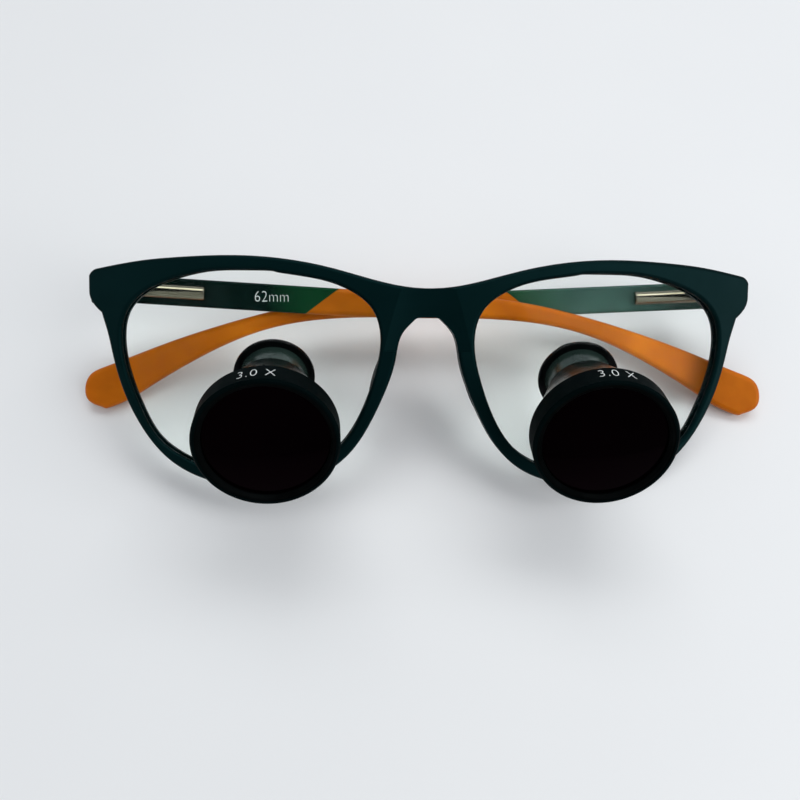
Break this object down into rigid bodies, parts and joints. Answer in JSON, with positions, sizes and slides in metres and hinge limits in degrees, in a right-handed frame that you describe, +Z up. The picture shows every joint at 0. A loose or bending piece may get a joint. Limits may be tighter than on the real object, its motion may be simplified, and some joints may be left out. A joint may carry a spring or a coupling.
{
  "type": "dental loupes",
  "caption": "Through-the-lens dental loupes: full-rim front, tilted Galilean telescopes set in clear carrier lenses, folding sprung temples with soft tips.",
  "frame": {"origin": "bottom centre of the folded object's box, on the table it lies on", "axes": "+X along the front to the wearer's left, +Y away from the viewer towards the brow, +Z up from the table"},
  "size_m": [0.152, 0.0572, 0.0461],
  "materials": {
    "frame_plastic": "matt, fine moulded texture",
    "temple_plastic": "satin",
    "tip_rubber": "soft satin",
    "casing_metal": "nickel plated, satin",
    "steel": "bright",
    "black_anodised": "semi-gloss black anodised",
    "black_ring": "gloss black",
    "carrier_glass": "clear, polished",
    "objective_glass": "multi-coated, polished"
  },
  "bodies": {
    "front": {"front_frame": "frame_plastic", "carrier_lens_right": "carrier_glass", "carrier_lens_left": "carrier_glass", "telescope_housing_right": "black_anodised", "telescope_housing_left": "black_anodised", "objective_ring_right": "black_ring", "objective_ring_left": "black_ring", "objective_lens_right": "objective_glass", "objective_lens_left": "objective_glass", "objective_flint_right": "objective_glass", "objective_flint_left": "objective_glass", "lens_spacer_right": "black_ring", "lens_spacer_left": "black_ring", "ocular_barrel_right": "black_anodised", "ocular_barrel_left": "black_anodised", "ocular_lens_right": "objective_glass", "ocular_lens_left": "objective_glass", "ocular_ring_right": "black_ring", "ocular_ring_left": "black_ring", "flange_ring_right": "black_ring", "flange_ring_left": "black_ring", "hinge_bracket_right": "steel", "hinge_bracket_left": "steel", "hinge_screw_right": "steel", "hinge_screw_left": "steel"},
    "slider_right": {"flex_slider_right": "steel", "stop_nut_right": "steel"},
    "temple_right": {"temple_arm_right": "temple_plastic", "temple_tip_right": "tip_rubber", "flex_casing_right": "casing_metal", "flex_spring_right": "steel"},
    "slider_left": {"flex_slider_left": "steel", "stop_nut_left": "steel"},
    "temple_left": {"temple_arm_left": "temple_plastic", "temple_tip_left": "tip_rubber", "flex_casing_left": "casing_metal", "flex_spring_left": "steel"}
  },
  "joints": [
    {"name": "fold_right", "type": "hinge", "parent": "front", "child": "slider_right", "pos_m": [-0.06435, 0.02015, 0.02022], "axis": [0, 0.8538, 0.5206], "range_deg": [0, 89.08]},
    {"name": "flex_right", "type": "slide", "parent": "slider_right", "child": "temple_right", "axis": [0.9962, -0.0088, -0.0861], "range_m": [0, 0.0016], "stiffness_N_per_m": 3000, "springref_m": -0.0008, "deforming": ["flex_spring_right"]},
    {"name": "fold_left", "type": "hinge", "parent": "front", "child": "slider_left", "pos_m": [0.06447, 0.02371, 0.01438], "axis": [0, -0.8538, -0.5206], "range_deg": [0, 85.88]},
    {"name": "flex_left", "type": "slide", "parent": "slider_left", "child": "temple_left", "axis": [-0.9985, -0.0349, -0.0433], "range_m": [0, 0.0016], "stiffness_N_per_m": 3000, "springref_m": -0.0008, "deforming": ["flex_spring_left"]}
  ]
}
